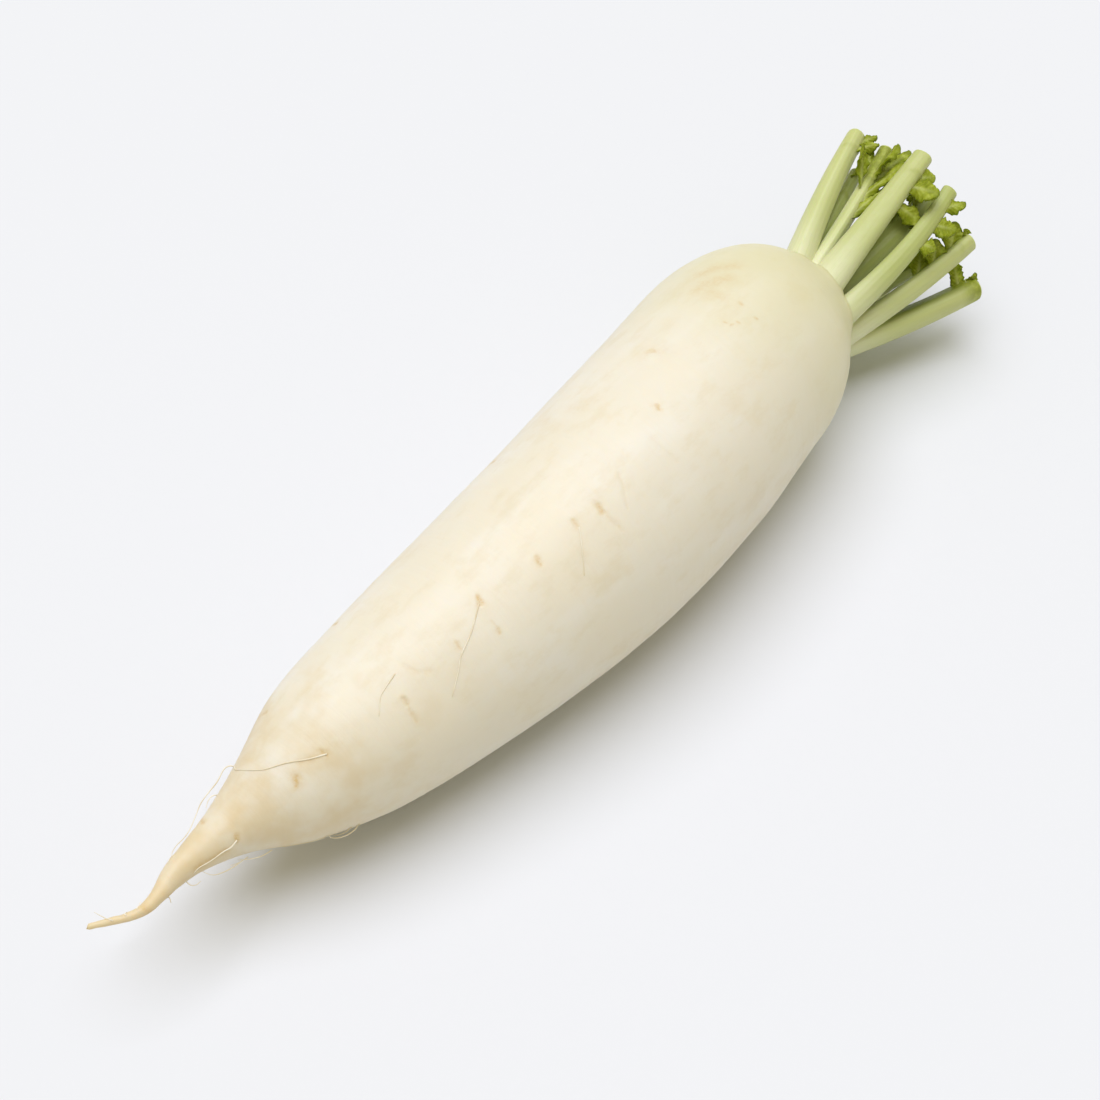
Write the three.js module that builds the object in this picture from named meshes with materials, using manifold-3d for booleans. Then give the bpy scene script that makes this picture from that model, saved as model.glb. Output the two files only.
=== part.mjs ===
// A daikon radish as sold: one long white taproot with its thin tail, and the cut leaf stalks that
// still stand on its crown, with the ruffled leaf lobes left at their ends.
// Millimetres, +Z up. The root lies on its side with its crown towards +X, and the origin is on the
// flat spot that it rests on.

import * as THREE from "three";
import { mergeVertices } from "three/addons/utils/BufferGeometryUtils.js";
import Module from "manifold-3d";

const wasm = await Module();
wasm.setup();

// The root: distance from the tail tip, radius, sideways place and height of its axis
const ROOT_STATIONS = [
  [0, 0.8, 11.2, 28],
  [13, 1.6, 3.9, 28.5],
  [28.5, 3.6, 5.9, 29.1],
  [47, 8.4, 5.1, 29.6],
  [67.5, 17.8, 3.1, 29.8],
  [86.5, 24.4, 2.8, 29.9],
  [113.5, 28.9, 1.4, 30.6],
  [154, 33.5, -0.5, 33],
  [194, 36.3, -0.6, 35.7],
  [234, 37, 3.4, 36.2],
  [274, 36.1, 10.4, 35.6],
  [299, 36, 13.9, 35.4],
  [322, 36, 14.2, 34.5],
];
const ORIGIN_FROM_TAIL = 204;
const TAIL_POINT = 1;
const ROOT_SIDES = 36;
const FLAT_HALF_ANGLE = 8.8;
const RING_STEP = 3.5;
const RING_STEP_PER_RADIUS = 0.17;

// The crown: the last stretch of the root closes as a dome, which sits a little low and to one side
const DOME_START = 272.5;
const DOME_LENGTH = 51;
const DOME_RINGS = 9;
const DOME_DROP = new THREE.Vector3(0, -2, -3);
const DOME_DROP_POWER = 4;
const CROWN_FROM_TAIL = 317.7;
const CROWN_AXIS = new THREE.Vector3(1, 0.05, -0.03).normalize();

// The stalks: how deep each starts below the crown, how deep its front is beside its half width, how
// its taper runs, the rise of its cut end, and the gap kept where pieces meet
const STALK_SINK = 2;
const STALK_SIDES = 14;
const STALK_RINGS = 8;
const FRONT_DEPTH = 0.8;
const STALK_TAPER = 0.7;
const CUT_RISE = 0.4;
const GAP = 0.3;

// The leaf lobes: thin blades with a waved, round-toothed edge. Where a lobe is grown to clear another
// stalk, its faces move by this much of the growth, because they slope. The outline starts and ends at
// these shares of a half wave, the power makes it widest past its middle, and it is never narrower than
// the least share of the half width.
const BLADE_THICKNESS = 0.9;
const BLADE_ROWS = 10;
const BLADE_COLUMNS = 4;
const FACE_GROWTH = 1.6;
const OUTLINE_START = 0.14;
const OUTLINE_END = 0.8;
const OUTLINE_POWER = 1.7;
const OUTLINE_LEAST = 0.16;
const TEETH = 3;
const TOOTH_DEPTH = 0.06;
const RUFFLE_HEIGHT = 2.6;
const RUFFLE_FADE = 1.25;
const RUFFLE_WAVES = 1.5;
const RUFFLE_OFFSET = 1.3;
const EDGE_SEED = 11;

// Each stalk: place round the crown and distance from its middle, lean from the crown's axis and the
// way it leans, length, bow, half width at the foot and at the cut, and its lobes. Angles are in
// degrees round the crown from its top. A lobe is [place along the stalk, side, spread from the
// stalk, length, half width, fold towards the middle].
const STALKS = [
  {
    round: -24, ring: 13, lean: 22, toward: -41, length: 57, bow: 3.5, foot: 5.5, cut: 3.3,
    lobes: [[0.9, 1, 44, 10, 1.9, 13], [0.86, 1, 62, 11, 1.7, 7]],
  },
  {
    round: -1, ring: 12.3, lean: 17, toward: -28, length: 57, bow: -4, foot: 2.9, cut: 2.5,
    lobes: [[0.66, -1, 41, 17, 1.9, -63], [0.74, -1, 22, 14, 1.8, -25], [0.75, 1, 33, 17, 2.4, -57],
      [0.7, 1, 19, 22, 2.8, -3], [0.6, 1, 35, 22, 3, -35], [0.45, 1, 27, 21, 2.2, -29]],
  },
  {
    round: 28, ring: 13.2, lean: 20, toward: -1, length: 58, bow: 1.7, foot: 6.3, cut: 3.4,
    lobes: [[0.83, 1, 53, 9.5, 3.7, -18], [0.78, 1, 77, 13, 4, -30], [0.66, 1, 85, 13, 3.2, 4]],
  },
  {
    round: 70, ring: 15.4, lean: 17, toward: 8, length: 58, bow: 5.8, foot: 4.8, cut: 2.8,
    lobes: [[0.84, 1, 43, 10.5, 2.5, -71], [0.74, 1, 69, 10, 4, -60], [0.6, 1, 76, 8, 3.2, -61]],
  },
  {
    round: 109, ring: 15.2, lean: 18, toward: 48, length: 57.5, bow: 2.5, foot: 4.7, cut: 3.4,
    lobes: [[0.82, -1, 40, 13, 4, 62], [0.7, -1, 56, 11, 4.2, 50], [0.58, -1, 44, 11, 3.8, 80],
      [0.93, -1, 33, 7, 1.4, 56]],
  },
  {
    round: 136, ring: 16.5, lean: 21, toward: 88, length: 58.5, bow: 2.2, foot: 5.6, cut: 4.7,
    lobes: [[0.9, 1, 73, 11, 2.9, 80], [0.95, -1, 45, 7, 1.6, 66]],
  },
  {
    round: 176, ring: 14, lean: 7, toward: 150, length: 57, bow: 1.5, foot: 4.8, cut: 3.6,
    lobes: [[0.8, -1, 42, 12, 3.6, 10], [0.84, 1, 46, 10, 3.2, 10]],
  },
  {
    round: 212, ring: 13, lean: 12, toward: 214, length: 56, bow: 1.5, foot: 4.9, cut: 3.5,
    lobes: [[0.78, -1, 44, 13, 3.8, 5], [0.86, 1, 40, 11, 3.2, 15]],
  },
  {
    round: 250, ring: 13, lean: 13, toward: 244, length: 56, bow: 1.5, foot: 5, cut: 3.6,
    lobes: [[0.82, -1, 44, 12, 3.6, 20], [0.76, 1, 40, 12, 3.6, 40]],
  },
  {
    round: -22, ring: 8, lean: 18, toward: -48, length: 50, bow: 1, foot: 3, cut: 2.3,
    lobes: [[0.88, 1, 30, 7, 1.6, -60]],
  },
  {
    round: 58, ring: 6.5, lean: 14, toward: 22, length: 57, bow: 1, foot: 4.2, cut: 3.6,
    lobes: [[0.76, -1, 23, 15, 5.2, -22], [0.72, 1, 39, 9, 4.4, -77], [0.63, -1, 30, 11, 4.2, 20],
      [0.88, -1, 60, 9, 4.2, 30], [0.9, 1, 55, 8, 4, -40]],
  },
  {
    round: 140, ring: 6.5, lean: 12, toward: 95, length: 50, bow: 1, foot: 3.8, cut: 3,
    lobes: [[0.74, -1, 29, 13, 5, 49], [0.86, -1, 38, 11, 4.6, -5], [0.95, -1, 32, 10, 4.2, 20]],
  },
  {
    round: 235, ring: 6.5, lean: 9, toward: 240, length: 48, bow: 1, foot: 3.6, cut: 2.8,
    lobes: [[0.82, -1, 38, 11, 3.4, 10]],
  },
];

// Colours and finishes
const ROOT_WHITE = new THREE.MeshStandardMaterial({ color: 0xece6d6, roughness: 0.5, metalness: 0 });
const STALK_GREEN = new THREE.MeshStandardMaterial({ color: 0xbcc47c, roughness: 0.55, metalness: 0 });

const radians = THREE.MathUtils.degToRad;

// Repeatable draws between 0 and 1
function seededDraws(seed) {
  let state = seed;
  return () => {
    state = (state * 48271) % 2147483647;
    return state / 2147483647;
  };
}

// Smooth value through one column of the root's stations
function throughStations(distance, column) {
  const last = ROOT_STATIONS.length - 1;
  let i = 0;
  while (i < last - 1 && ROOT_STATIONS[i + 1][0] <= distance) {
    i += 1;
  }
  const slopeAt = (k) => {
    const before = ROOT_STATIONS[Math.max(k - 1, 0)];
    const after = ROOT_STATIONS[Math.min(k + 1, last)];
    return (after[column] - before[column]) / (after[0] - before[0]);
  };
  const [from, to] = [ROOT_STATIONS[i], ROOT_STATIONS[i + 1]];
  const span = to[0] - from[0];
  const t = (distance - from[0]) / span;
  const rise = t * t * (3 - 2 * t);
  const ease = t * (1 - t);
  return from[column] * (1 - rise) + to[column] * rise
    + span * ease * ((1 - t) * slopeAt(i) - t * slopeAt(i + 1));
}

function rootAxisPoint(distance) {
  return new THREE.Vector3(
    distance - ORIGIN_FROM_TAIL,
    throughStations(distance, 2),
    throughStations(distance, 3),
  );
}

// How far along the dome a distance is, from 0 where it starts to 1 at its pole
function domeShare(distance) {
  return Math.max(0, (distance - DOME_START) / DOME_LENGTH);
}

function rootRadius(distance) {
  const share = Math.min(1, domeShare(distance));
  return throughStations(distance, 1) * Math.sqrt(1 - share * share);
}

// A ring of the root's surface, square to its axis. Its lowest side spans the flat half angle each way
// from straight down, and lies on the ground wherever the root would reach below it.
function rootRing(distance, grow) {
  const centre = rootAxisPoint(distance);
  const tangent = rootAxisPoint(distance + 1).sub(rootAxisPoint(distance - 1)).normalize();
  const above = new THREE.Vector3(0, 0, 1).addScaledVector(tangent, -tangent.z).normalize();
  const beside = new THREE.Vector3().crossVectors(tangent, above);
  const share = domeShare(distance);
  centre.addScaledVector(DOME_DROP, share ** DOME_DROP_POWER);
  const radius = rootRadius(distance) + grow;
  const turn = radians(360 - 2 * FLAT_HALF_ANGLE) / (ROOT_SIDES - 1);
  const ring = [];
  for (let i = 0; i < ROOT_SIDES; i += 1) {
    const angle = radians(FLAT_HALF_ANGLE) + turn * i;
    const point = centre.clone();
    point.addScaledVector(above, -radius * Math.cos(angle));
    point.addScaledVector(beside, -radius * Math.sin(angle));
    point.z = Math.max(point.z, -grow);
    ring.push(point);
  }
  return ring;
}

function rootRingDistances() {
  const distances = [];
  let distance = 0;
  while (distance < DOME_START - RING_STEP) {
    distances.push(distance);
    distance += RING_STEP + RING_STEP_PER_RADIUS * rootRadius(distance);
  }
  for (let i = 0; i < DOME_RINGS; i += 1) {
    const turn = (Math.PI / 2) * (i / DOME_RINGS);
    distances.push(DOME_START + DOME_LENGTH * Math.sin(turn));
  }
  return distances;
}

// A closed body from rings of equal size, each end closed on a point in its middle
function loftGeometry(rings, startPoint, endPoint) {
  const sides = rings[0].length;
  const points = [startPoint, ...rings.flat(), endPoint];
  const end = points.length - 1;
  const at = (ring, side) => 1 + ring * sides + (side % sides);
  const faces = [];
  for (let side = 0; side < sides; side += 1) {
    faces.push(0, at(0, side + 1), at(0, side));
    for (let ring = 0; ring < rings.length - 1; ring += 1) {
      faces.push(at(ring, side), at(ring, side + 1), at(ring + 1, side + 1));
      faces.push(at(ring, side), at(ring + 1, side + 1), at(ring + 1, side));
    }
    faces.push(end, at(rings.length - 1, side), at(rings.length - 1, side + 1));
  }
  return indexedGeometry(points, faces);
}

function indexedGeometry(points, faces) {
  const geometry = new THREE.BufferGeometry();
  geometry.setFromPoints(points);
  geometry.setIndex(faces);
  return geometry;
}

function toSolid(geometry) {
  const merged = mergeVertices(geometry, 1e-4);
  return new wasm.Manifold(new wasm.Mesh({
    numProp: 3,
    vertProperties: new Float32Array(merged.getAttribute("position").array),
    triVerts: new Uint32Array(merged.getIndex().array),
  }));
}

function toMesh(solid, name, material) {
  const { vertProperties, triVerts } = solid.getMesh();
  const geometry = new THREE.BufferGeometry();
  geometry.setAttribute("position", new THREE.BufferAttribute(new Float32Array(vertProperties), 3));
  geometry.setIndex(new THREE.BufferAttribute(new Uint32Array(triVerts), 1));
  geometry.computeVertexNormals();
  const mesh = new THREE.Mesh(geometry, material);
  mesh.name = name;
  return mesh;
}

// The root as one solid, thicker all over by grow
function rootSolid(grow) {
  const rings = rootRingDistances().map((distance) => rootRing(distance, grow));
  const tip = rootAxisPoint(0).addScaledVector(CROWN_AXIS, -TAIL_POINT - grow);
  const pole = rootAxisPoint(DOME_START + DOME_LENGTH).add(DOME_DROP);
  pole.addScaledVector(CROWN_AXIS, grow);
  return toSolid(loftGeometry(rings, tip, pole));
}

// Directions round the crown: near points to the side at 90 degrees, and top to 0
const CROWN_NEAR = new THREE.Vector3().crossVectors(CROWN_AXIS, new THREE.Vector3(0, 0, 1)).normalize();
const CROWN_TOP = new THREE.Vector3().crossVectors(CROWN_NEAR, CROWN_AXIS);
const CROWN_SHARE = domeShare(CROWN_FROM_TAIL);
const CROWN_CENTRE = rootAxisPoint(CROWN_FROM_TAIL)
  .addScaledVector(DOME_DROP, CROWN_SHARE ** DOME_DROP_POWER);

function roundCrown(degrees) {
  return CROWN_TOP.clone().multiplyScalar(Math.cos(radians(degrees)))
    .addScaledVector(CROWN_NEAR, Math.sin(radians(degrees)));
}

// The curve along a stalk's middle: it leaves its foot a little outwards and straightens
function stalkCurve(stalk) {
  const foot = CROWN_CENTRE.clone().addScaledVector(CROWN_AXIS, -STALK_SINK)
    .addScaledVector(roundCrown(stalk.round), stalk.ring);
  const way = CROWN_AXIS.clone().multiplyScalar(Math.cos(radians(stalk.lean)))
    .addScaledVector(roundCrown(stalk.toward), Math.sin(radians(stalk.lean)));
  const tip = foot.clone().addScaledVector(way, stalk.length);
  const middle = foot.clone().lerp(tip, 0.5).addScaledVector(roundCrown(stalk.round), stalk.bow);
  return new THREE.QuadraticBezierCurve3(foot, middle, tip);
}

// The stalk's middle and its own directions at a share of its length: along, outer and side
function stalkFrame(stalk, share) {
  const curve = stalkCurve(stalk);
  const centre = curve.getPoint(share);
  const along = curve.getTangent(share);
  const outer = roundCrown(stalk.round);
  outer.addScaledVector(along, -outer.dot(along)).normalize();
  const side = new THREE.Vector3().crossVectors(along, outer);
  return { centre, along, outer, side };
}

// A stalk has a round back and a flatter front, as a cut celery stick has
function stalkSolid(stalk, grow) {
  const rings = [];
  for (let row = 0; row <= STALK_RINGS; row += 1) {
    const share = row / STALK_RINGS;
    const { centre, outer, side } = stalkFrame(stalk, share);
    const halfWidth = THREE.MathUtils.lerp(stalk.foot, stalk.cut, share ** STALK_TAPER);
    const ring = [];
    for (let i = 0; i < STALK_SIDES; i += 1) {
      const angle = (2 * Math.PI * i) / STALK_SIDES;
      const depth = halfWidth * (Math.cos(angle) < 0 ? FRONT_DEPTH : 1) + grow;
      const point = centre.clone();
      point.addScaledVector(outer, depth * Math.cos(angle));
      point.addScaledVector(side, (halfWidth + grow) * Math.sin(angle));
      ring.push(point);
    }
    rings.push(ring);
  }
  const start = stalkFrame(stalk, 0);
  const end = stalkFrame(stalk, 1);
  const startPoint = start.centre.addScaledVector(start.along, -grow);
  const endPoint = end.centre.addScaledVector(end.along, CUT_RISE + grow);
  return toSolid(loftGeometry(rings, startPoint, endPoint));
}

// A leaf lobe: it starts inside the stalk's edge and spreads from it, with a ruffled, toothed edge
function lobeSolid(stalk, lobe, phase, grow) {
  const [place, whichSide, spread, length, halfWidth, fold] = lobe;
  const { centre, along, outer, side } = stalkFrame(stalk, place);
  const sideways = side.multiplyScalar(whichSide * Math.cos(radians(fold)))
    .addScaledVector(outer, -Math.sin(radians(fold)));
  const growth = along.clone().multiplyScalar(Math.cos(radians(spread)))
    .addScaledVector(sideways, Math.sin(radians(spread)));
  const across = along.clone().multiplyScalar(Math.sin(radians(spread)))
    .addScaledVector(sideways, -Math.cos(radians(spread)));
  const face = new THREE.Vector3().crossVectors(growth, across);
  const halfThickness = BLADE_THICKNESS / 2 + FACE_GROWTH * grow;

  const bladePoint = (row, column, level) => {
    const share = row / BLADE_ROWS;
    const breadth = (2 * column) / BLADE_COLUMNS - 1;
    const reach = THREE.MathUtils.lerp(OUTLINE_START, OUTLINE_END, share ** OUTLINE_POWER);
    const outline = Math.sin(Math.PI * reach);
    const tooth = 1 + TOOTH_DEPTH * Math.cos(2 * Math.PI * (TEETH * share + phase));
    const half = halfWidth * Math.max(OUTLINE_LEAST, outline) * tooth + grow;
    const turn = 2 * Math.PI * (RUFFLE_WAVES * share + phase) + RUFFLE_OFFSET * Math.sign(breadth);
    const lift = RUFFLE_HEIGHT * share * (RUFFLE_FADE - share) * breadth * breadth * Math.sin(turn);
    return centre.clone()
      .addScaledVector(growth, length * share + (row === BLADE_ROWS ? grow : 0))
      .addScaledVector(across, half * breadth)
      .addScaledVector(face, lift + level * halfThickness);
  };

  const columns = BLADE_COLUMNS + 1;
  const points = [];
  for (const level of [-1, 1]) {
    for (let row = 0; row <= BLADE_ROWS; row += 1) {
      for (let column = 0; column < columns; column += 1) {
        points.push(bladePoint(row, column, level));
      }
    }
  }
  const layer = (BLADE_ROWS + 1) * columns;
  const at = (row, column) => row * columns + column;
  const faces = [];
  for (let row = 0; row < BLADE_ROWS; row += 1) {
    for (let column = 0; column < BLADE_COLUMNS; column += 1) {
      const a = at(row, column);
      const b = at(row + 1, column);
      const c = at(row + 1, column + 1);
      const d = at(row, column + 1);
      faces.push(a, c, b, a, d, c);
      faces.push(layer + a, layer + b, layer + c, layer + a, layer + c, layer + d);
    }
  }
  const rim = [];
  for (let row = 0; row < BLADE_ROWS; row += 1) {
    rim.push(at(row, 0));
  }
  for (let column = 0; column < BLADE_COLUMNS; column += 1) {
    rim.push(at(BLADE_ROWS, column));
  }
  for (let row = BLADE_ROWS; row > 0; row -= 1) {
    rim.push(at(row, BLADE_COLUMNS));
  }
  for (let column = BLADE_COLUMNS; column > 0; column -= 1) {
    rim.push(at(0, column));
  }
  rim.forEach((from, i) => {
    const to = rim[(i + 1) % rim.length];
    faces.push(from, to, layer + to, from, layer + to, layer + from);
  });
  return toSolid(indexedGeometry(points, faces));
}

// A stalk's lobes as one solid
function lobesSolid(stalk, phases, grow) {
  return wasm.Manifold.union(stalk.lobes.map((lobe, i) => lobeSolid(stalk, lobe, phases[i], grow)));
}

// The largest body of a solid, without the scraps that a cut leaves
function largestBody(solid) {
  const bodies = solid.decompose();
  return bodies.reduce((best, body) => (body.volume() > best.volume() ? body : best));
}

const radish = new THREE.Group();
radish.name = "daikon_radish";
radish.add(toMesh(rootSolid(0), "taproot", ROOT_WHITE));

// Each stalk gives way to the root and to the stalks before it. Its lobes give way to the root, to all
// other stalks and to the lobes before them.
const draw = seededDraws(EDGE_SEED);
const roomyRoot = rootSolid(GAP);
const roomyStalks = STALKS.map((stalk) => stalkSolid(stalk, GAP));
let stalksBefore = roomyRoot;
let lobesBefore = roomyRoot;
STALKS.forEach((stalk, i) => {
  const phases = stalk.lobes.map(() => draw());
  const body = stalkSolid(stalk, 0).subtract(stalksBefore);
  const others = wasm.Manifold.union(roomyStalks.filter((other, k) => k !== i));
  const lobes = lobesSolid(stalk, phases, 0).subtract(others).subtract(lobesBefore);
  const number = String(i + 1).padStart(2, "0");
  radish.add(toMesh(largestBody(body.add(lobes)), `leaf_stalk_${number}`, STALK_GREEN));
  stalksBefore = stalksBefore.add(roomyStalks[i]);
  lobesBefore = lobesBefore.add(lobesSolid(stalk, phases, GAP));
});

export default radish;
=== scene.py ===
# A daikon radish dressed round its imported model: the root with its scars, wrinkles and rootlets,
# and the cut leaf stalks with their ribs, cut faces and ruffled leaf lobes.
# The shapes are worked out in millimetres in the model's own frame and turned into metres as each
# mesh is made.

import math
import random
from collections import namedtuple

import bpy
import numpy as np
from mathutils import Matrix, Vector, noise
from mathutils.bvhtree import BVHTree


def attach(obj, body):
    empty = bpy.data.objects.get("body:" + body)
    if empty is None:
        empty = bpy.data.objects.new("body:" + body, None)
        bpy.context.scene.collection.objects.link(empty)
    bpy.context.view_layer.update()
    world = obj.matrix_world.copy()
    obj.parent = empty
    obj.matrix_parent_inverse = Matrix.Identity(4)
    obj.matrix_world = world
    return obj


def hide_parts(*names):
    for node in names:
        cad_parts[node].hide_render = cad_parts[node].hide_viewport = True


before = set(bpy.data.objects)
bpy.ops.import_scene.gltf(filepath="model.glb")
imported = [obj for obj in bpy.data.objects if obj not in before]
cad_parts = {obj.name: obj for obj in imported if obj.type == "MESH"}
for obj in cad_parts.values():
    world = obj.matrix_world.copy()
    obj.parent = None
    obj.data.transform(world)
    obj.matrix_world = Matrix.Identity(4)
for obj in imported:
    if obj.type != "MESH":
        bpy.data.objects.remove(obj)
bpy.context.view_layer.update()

MM = 0.001

# The camera, in millimetres: the photo's direction, the point it looks at and how far off it stands
VIEW_AZIMUTH = math.radians(-48)
VIEW_ELEVATION = math.radians(50)
VIEW_TARGET = np.array([-2.3, 23.2, 0.0])
VIEW_DISTANCE = 833.0
LENS = 85.0
SENSOR = 36.0
IMAGE_SIDE = 1100

# The root: distance from the tail tip, radius, sideways place and height of its axis
ROOT_STATIONS = np.array([
    [0, 0.8, 11.2, 28],
    [13, 1.6, 3.9, 28.5],
    [28.5, 3.6, 5.9, 29.1],
    [47, 8.4, 5.1, 29.6],
    [67.5, 17.8, 3.1, 29.8],
    [86.5, 24.4, 2.8, 29.9],
    [113.5, 28.9, 1.4, 30.6],
    [154, 33.5, -0.5, 33],
    [194, 36.3, -0.6, 35.7],
    [234, 37, 3.4, 36.2],
    [274, 36.1, 10.4, 35.6],
    [299, 36, 13.9, 35.4],
    [322, 36, 14.2, 34.5],
])
ORIGIN_FROM_TAIL = 204.0
FLAT_HALF_ANGLE = 8.8
DOME_START = 272.5
DOME_LENGTH = 51.0
ROOT_END = DOME_START + DOME_LENGTH
DOME_DROP = np.array([0.0, -2.0, -3.0])
DOME_DROP_POWER = 4
CROWN_FROM_TAIL = 317.7
CROWN_AXIS = np.array([1, 0.05, -0.03]) / np.linalg.norm([1, 0.05, -0.03])

# The stalks: place round the crown, distance from its middle, lean and the way it leans, length,
# bow, half width at foot and cut, and the lobes, each with its place along the stalk, side, spread
# from the stalk, length, half width and fold. Then how dull and dark each stalk's green is, partly
# its own duller green and partly painted shade, most on the stalks that lie in shade behind the
# others, and from which share of its length a stalk is as green as a leaf.
Stalk = namedtuple("Stalk", "place ring lean toward length bow foot cut lobes")
STALKS = [Stalk(*row) for row in [
    (-24, 13, 22, -41, 57, 3.5, 5.5, 3.3,
     [(0.9, 1, 44, 10, 1.9, 13), (0.86, 1, 62, 11, 1.7, 7)]),
    (-1, 12.3, 17, -28, 57, -4, 2.9, 2.5,
     [(0.66, -1, 41, 17, 1.9, -63), (0.74, -1, 22, 14, 1.8, -25), (0.75, 1, 33, 17, 2.4, -57),
      (0.7, 1, 19, 22, 2.8, -3), (0.6, 1, 35, 22, 3, -35), (0.45, 1, 27, 21, 2.2, -29)]),
    (28, 13.2, 20, -1, 58, 1.7, 6.3, 3.4,
     [(0.83, 1, 53, 9.5, 3.7, -18), (0.78, 1, 77, 13, 4, -30), (0.66, 1, 85, 13, 3.2, 4)]),
    (70, 15.4, 17, 8, 58, 5.8, 4.8, 2.8,
     [(0.84, 1, 43, 10.5, 2.5, -71), (0.74, 1, 69, 10, 4, -60), (0.6, 1, 76, 8, 3.2, -61)]),
    (109, 15.2, 18, 48, 57.5, 2.5, 4.7, 3.4,
     [(0.82, -1, 40, 13, 4, 62), (0.7, -1, 56, 11, 4.2, 50), (0.58, -1, 44, 11, 3.8, 80),
      (0.93, -1, 33, 7, 1.4, 56)]),
    (136, 16.5, 21, 88, 58.5, 2.2, 5.6, 4.7,
     [(0.9, 1, 73, 11, 2.9, 80), (0.95, -1, 45, 7, 1.6, 66)]),
    (176, 14, 7, 150, 57, 1.5, 4.8, 3.6,
     [(0.8, -1, 42, 12, 3.6, 10), (0.84, 1, 46, 10, 3.2, 10)]),
    (212, 13, 12, 214, 56, 1.5, 4.9, 3.5,
     [(0.78, -1, 44, 13, 3.8, 5), (0.86, 1, 40, 11, 3.2, 15)]),
    (250, 13, 13, 244, 56, 1.5, 5, 3.6,
     [(0.82, -1, 44, 12, 3.6, 20), (0.76, 1, 40, 12, 3.6, 40)]),
    (-22, 8, 18, -48, 50, 1, 3, 2.3,
     [(0.88, 1, 30, 7, 1.6, -60)]),
    (58, 6.5, 14, 22, 57, 1, 4.2, 3.6,
     [(0.76, -1, 23, 15, 5.2, -22), (0.72, 1, 39, 9, 4.4, -77), (0.63, -1, 30, 11, 4.2, 20),
      (0.88, -1, 60, 9, 4.2, 30), (0.9, 1, 55, 8, 4, -40)]),
    (140, 6.5, 12, 95, 50, 1, 3.8, 3,
     [(0.74, -1, 29, 13, 5, 49), (0.86, -1, 38, 11, 4.6, -5), (0.95, -1, 32, 10, 4.2, 20)]),
    (235, 6.5, 9, 240, 48, 1, 3.6, 2.8,
     [(0.82, -1, 38, 11, 3.4, 10)]),
]]
# Dull green and painted shade of each stalk in turn: most on the inner stalks that lie in shade
DULLNESS_AND_SHADE = [0.1, 0.1, 0.3, 0.65, 0.2, 0.2, 0.4, 0.4, 0.4, 0.9, 1, 1, 0.8]
LEAFY_TIPS = {2: 0.68, 6: 0.86}
STALK_SINK = 2.0
FRONT_DEPTH = 0.8
STALK_TAPER = 0.7
LOBE_SEED = 11


# Directions of the camera, for the marks that are placed by the photo's pixels
def camera_axes():
    back = np.array([
        math.sin(VIEW_AZIMUTH) * math.cos(VIEW_ELEVATION),
        -math.cos(VIEW_AZIMUTH) * math.cos(VIEW_ELEVATION),
        math.sin(VIEW_ELEVATION),
    ])
    right = np.cross([0, 0, 1], back)
    right /= np.linalg.norm(right)
    return right, np.cross(back, right), back


CAMERA_RIGHT, CAMERA_UP, CAMERA_BACK = camera_axes()
CAMERA_PLACE = VIEW_TARGET + CAMERA_BACK * VIEW_DISTANCE
PIXELS_PER_SLOPE = IMAGE_SIDE * LENS / SENSOR


def pixel_ray(pixel):
    across = (pixel[0] - IMAGE_SIDE / 2) / PIXELS_PER_SLOPE
    upward = (IMAGE_SIDE / 2 - pixel[1]) / PIXELS_PER_SLOPE
    ray = -CAMERA_BACK + CAMERA_RIGHT * across + CAMERA_UP * upward
    return ray / np.linalg.norm(ray)


def unit(vectors):
    return vectors / np.linalg.norm(vectors, axis=-1, keepdims=True)


def ring_faces(start, rings, sides):
    """Quads between rings of points that follow each other from a start."""
    faces = []
    for ring in range(rings - 1):
        here, there = start + ring * sides, start + (ring + 1) * sides
        for k in range(sides):
            beside = (k + 1) % sides
            faces.append((here + k, here + beside, there + beside, there + k))
    return faces


def tube_faces(start, rings, sides):
    last = start + (rings - 1) * sides
    return (ring_faces(start, rings, sides) + [tuple(start + k for k in reversed(range(sides)))]
            + [tuple(last + k for k in range(sides))])


# The root's smooth form
def through_stations(distance, column):
    known = ROOT_STATIONS[:, 0]
    value = ROOT_STATIONS[:, column]
    last = len(known) - 1
    i = np.clip(np.searchsorted(known, distance, side="right") - 1, 0, last - 1)

    def slope_at(k):
        before, after = np.maximum(k - 1, 0), np.minimum(k + 1, last)
        return (value[after] - value[before]) / (known[after] - known[before])

    span = known[i + 1] - known[i]
    t = (distance - known[i]) / span
    rise = t * t * (3 - 2 * t)
    ease = t * (1 - t)
    return (value[i] * (1 - rise) + value[i + 1] * rise
            + span * ease * ((1 - t) * slope_at(i) - t * slope_at(i + 1)))


def root_axis(distance):
    distance = np.asarray(distance, float)
    return np.stack([
        distance - ORIGIN_FROM_TAIL,
        through_stations(distance, 2),
        through_stations(distance, 3),
    ], axis=-1)


def dome_share(distance):
    return np.maximum(0, (distance - DOME_START) / DOME_LENGTH)


def dome_drop(distance):
    """How far the root's end is shifted off its axis, at each distance from the tail."""
    return DOME_DROP * dome_share(distance)[..., None] ** DOME_DROP_POWER


def root_radius(distance):
    share = np.minimum(1, dome_share(distance))
    return through_stations(distance, 1) * np.sqrt(1 - share * share)


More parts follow.
